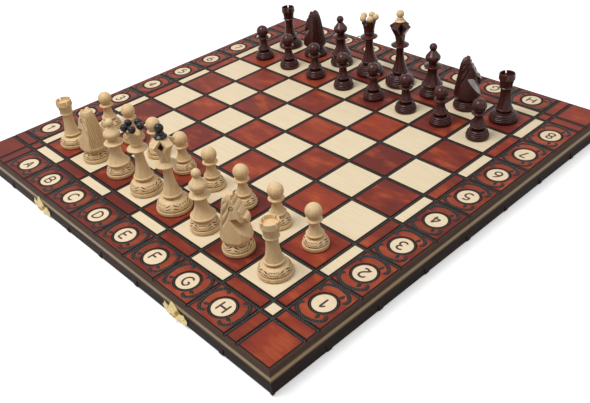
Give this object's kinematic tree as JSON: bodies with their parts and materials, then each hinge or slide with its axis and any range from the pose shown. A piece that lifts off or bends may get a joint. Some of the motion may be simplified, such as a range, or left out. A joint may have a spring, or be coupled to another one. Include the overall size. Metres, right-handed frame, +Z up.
{
  "type": "folding chess box",
  "caption": "Folding wooden chess box: two hinged trays open flat into a carved playing board with its turned men, and shut with two wire-loop clasps.",
  "frame": {"origin": "under the middle of the fold of the open board, at the height of the lowest point of the hinge knuckles", "axes": "+X along the files from A to H and along the fold, +Y along the ranks from 1 to 8, +Z up"},
  "size_m": [0.54, 0.5484, 0.1332],
  "materials": {
    "board_wood": "stained and varnished wood, cream and mahogany red squares, carved lines burnt dark",
    "rail_wood": "dark purple-brown stain, varnished",
    "inlay_wood": "pale wood strip, varnished",
    "green_felt": "matt green felt",
    "clasp_brass": "pale polished brass",
    "hinge_brass": "brass, lightly worn",
    "clasp_wire": "polished brass wire",
    "white_men_wood": "natural pale wood, clear satin varnish, burnt dark rings",
    "black_men_wood": "black-brown stained wood, high gloss varnish"
  },
  "bodies": {
    "white_half": {"white_board_panel": "board_wood", "white_end_rail": "rail_wood", "white_hinge_rail": "rail_wood", "white_side_rail_a": "rail_wood", "white_side_rail_h": "rail_wood", "white_banding": "inlay_wood", "white_felt_lining": "green_felt", "white_hinge_leaves": "hinge_brass", "white_hinge_screws": "hinge_brass", "hinge_pins": "hinge_brass", "catch_plates": "clasp_brass", "catch_nails": "clasp_brass"},
    "black_half": {"black_board_panel": "board_wood", "black_end_rail": "rail_wood", "black_hinge_rail": "rail_wood", "black_side_rail_a": "rail_wood", "black_side_rail_h": "rail_wood", "black_banding": "inlay_wood", "black_felt_lining": "green_felt", "black_hinge_leaves": "hinge_brass", "black_hinge_screws": "hinge_brass", "loop_plates": "clasp_brass", "loop_nails": "clasp_brass"},
    "clasp_loop_b": {"clasp_loop_b": "clasp_wire"},
    "clasp_loop_g": {"clasp_loop_g": "clasp_wire"},
    "white_rook_a": {"white_rook_a": "white_men_wood"},
    "white_knight_b": {"white_knight_b": "white_men_wood"},
    "white_bishop_c": {"white_bishop_c": "white_men_wood"},
    "white_queen": {"white_queen": "white_men_wood"},
    "white_king": {"white_king": "white_men_wood"},
    "white_bishop_f": {"white_bishop_f": "white_men_wood"},
    "white_knight_g": {"white_knight_g": "white_men_wood"},
    "white_rook_h": {"white_rook_h": "white_men_wood"},
    "white_pawn_a": {"white_pawn_a": "white_men_wood"},
    "white_pawn_b": {"white_pawn_b": "white_men_wood"},
    "white_pawn_c": {"white_pawn_c": "white_men_wood"},
    "white_pawn_d": {"white_pawn_d": "white_men_wood"},
    "white_pawn_e": {"white_pawn_e": "white_men_wood"},
    "white_pawn_f": {"white_pawn_f": "white_men_wood"},
    "white_pawn_g": {"white_pawn_g": "white_men_wood"},
    "white_pawn_h": {"white_pawn_h": "white_men_wood"},
    "black_rook_a": {"black_rook_a": "black_men_wood"},
    "black_knight_b": {"black_knight_b": "black_men_wood"},
    "black_bishop_c": {"black_bishop_c": "black_men_wood"},
    "black_queen": {"black_queen": "black_men_wood"},
    "black_king": {"black_king": "black_men_wood"},
    "black_bishop_f": {"black_bishop_f": "black_men_wood"},
    "black_knight_g": {"black_knight_g": "black_men_wood"},
    "black_rook_h": {"black_rook_h": "black_men_wood"},
    "black_pawn_a": {"black_pawn_a": "black_men_wood"},
    "black_pawn_b": {"black_pawn_b": "black_men_wood"},
    "black_pawn_c": {"black_pawn_c": "black_men_wood"},
    "black_pawn_d": {"black_pawn_d": "black_men_wood"},
    "black_pawn_e": {"black_pawn_e": "black_men_wood"},
    "black_pawn_f": {"black_pawn_f": "black_men_wood"},
    "black_pawn_g": {"black_pawn_g": "black_men_wood"},
    "black_pawn_h": {"black_pawn_h": "black_men_wood"}
  },
  "joints": [
    {"name": "fold", "type": "hinge", "parent": "white_half", "child": "black_half", "pos_m": [0, 0, 0.0016], "axis": [-1, 0, 0], "range_deg": [0, 180]},
    {"name": "loop_b_swing", "type": "hinge", "parent": "black_half", "child": "clasp_loop_b", "pos_m": [-0.123, 0.2721, 0.0132], "axis": [-1, 0, 0], "range_deg": [0, 183.7]},
    {"name": "loop_g_swing", "type": "hinge", "parent": "black_half", "child": "clasp_loop_g", "pos_m": [0.137, 0.2721, 0.0132], "axis": [-1, 0, 0], "range_deg": [0, 183.7]},
    {"name": "white_rook_a_lift", "type": "slide", "parent": "white_half", "child": "white_rook_a", "axis": [0, 0, 1], "range_m": [0, 0.12]},
    {"name": "white_knight_b_lift", "type": "slide", "parent": "white_half", "child": "white_knight_b", "axis": [0, 0, 1], "range_m": [0, 0.12]},
    {"name": "white_bishop_c_lift", "type": "slide", "parent": "white_half", "child": "white_bishop_c", "axis": [0, 0, 1], "range_m": [0, 0.12]},
    {"name": "white_queen_lift", "type": "slide", "parent": "white_half", "child": "white_queen", "axis": [0, 0, 1], "range_m": [0, 0.12]},
    {"name": "white_king_lift", "type": "slide", "parent": "white_half", "child": "white_king", "axis": [0, 0, 1], "range_m": [0, 0.12]},
    {"name": "white_bishop_f_lift", "type": "slide", "parent": "white_half", "child": "white_bishop_f", "axis": [0, 0, 1], "range_m": [0, 0.12]},
    {"name": "white_knight_g_lift", "type": "slide", "parent": "white_half", "child": "white_knight_g", "axis": [0, 0, 1], "range_m": [0, 0.12]},
    {"name": "white_rook_h_lift", "type": "slide", "parent": "white_half", "child": "white_rook_h", "axis": [0, 0, 1], "range_m": [0, 0.12]},
    {"name": "white_pawn_a_lift", "type": "slide", "parent": "white_half", "child": "white_pawn_a", "axis": [0, 0, 1], "range_m": [0, 0.12]},
    {"name": "white_pawn_b_lift", "type": "slide", "parent": "white_half", "child": "white_pawn_b", "axis": [0, 0, 1], "range_m": [0, 0.12]},
    {"name": "white_pawn_c_lift", "type": "slide", "parent": "white_half", "child": "white_pawn_c", "axis": [0, 0, 1], "range_m": [0, 0.12]},
    {"name": "white_pawn_d_lift", "type": "slide", "parent": "white_half", "child": "white_pawn_d", "axis": [0, 0, 1], "range_m": [0, 0.12]},
    {"name": "white_pawn_e_lift", "type": "slide", "parent": "white_half", "child": "white_pawn_e", "axis": [0, 0, 1], "range_m": [0, 0.12]},
    {"name": "white_pawn_f_lift", "type": "slide", "parent": "white_half", "child": "white_pawn_f", "axis": [0, 0, 1], "range_m": [0, 0.12]},
    {"name": "white_pawn_g_lift", "type": "slide", "parent": "white_half", "child": "white_pawn_g", "axis": [0, 0, 1], "range_m": [0, 0.12]},
    {"name": "white_pawn_h_lift", "type": "slide", "parent": "white_half", "child": "white_pawn_h", "axis": [0, 0, 1], "range_m": [0, 0.12]},
    {"name": "black_rook_a_lift", "type": "slide", "parent": "black_half", "child": "black_rook_a", "axis": [0, 0, 1], "range_m": [0, 0.12]},
    {"name": "black_knight_b_lift", "type": "slide", "parent": "black_half", "child": "black_knight_b", "axis": [0, 0, 1], "range_m": [0, 0.12]},
    {"name": "black_bishop_c_lift", "type": "slide", "parent": "black_half", "child": "black_bishop_c", "axis": [0, 0, 1], "range_m": [0, 0.12]},
    {"name": "black_queen_lift", "type": "slide", "parent": "black_half", "child": "black_queen", "axis": [0, 0, 1], "range_m": [0, 0.12]},
    {"name": "black_king_lift", "type": "slide", "parent": "black_half", "child": "black_king", "axis": [0, 0, 1], "range_m": [0, 0.12]},
    {"name": "black_bishop_f_lift", "type": "slide", "parent": "black_half", "child": "black_bishop_f", "axis": [0, 0, 1], "range_m": [0, 0.12]},
    {"name": "black_knight_g_lift", "type": "slide", "parent": "black_half", "child": "black_knight_g", "axis": [0, 0, 1], "range_m": [0, 0.12]},
    {"name": "black_rook_h_lift", "type": "slide", "parent": "black_half", "child": "black_rook_h", "axis": [0, 0, 1], "range_m": [0, 0.12]},
    {"name": "black_pawn_a_lift", "type": "slide", "parent": "black_half", "child": "black_pawn_a", "axis": [0, 0, 1], "range_m": [0, 0.12]},
    {"name": "black_pawn_b_lift", "type": "slide", "parent": "black_half", "child": "black_pawn_b", "axis": [0, 0, 1], "range_m": [0, 0.12]},
    {"name": "black_pawn_c_lift", "type": "slide", "parent": "black_half", "child": "black_pawn_c", "axis": [0, 0, 1], "range_m": [0, 0.12]},
    {"name": "black_pawn_d_lift", "type": "slide", "parent": "black_half", "child": "black_pawn_d", "axis": [0, 0, 1], "range_m": [0, 0.12]},
    {"name": "black_pawn_e_lift", "type": "slide", "parent": "black_half", "child": "black_pawn_e", "axis": [0, 0, 1], "range_m": [0, 0.12]},
    {"name": "black_pawn_f_lift", "type": "slide", "parent": "black_half", "child": "black_pawn_f", "axis": [0, 0, 1], "range_m": [0, 0.12]},
    {"name": "black_pawn_g_lift", "type": "slide", "parent": "black_half", "child": "black_pawn_g", "axis": [0, 0, 1], "range_m": [0, 0.12]},
    {"name": "black_pawn_h_lift", "type": "slide", "parent": "black_half", "child": "black_pawn_h", "axis": [0, 0, 1], "range_m": [0, 0.12]}
  ]
}
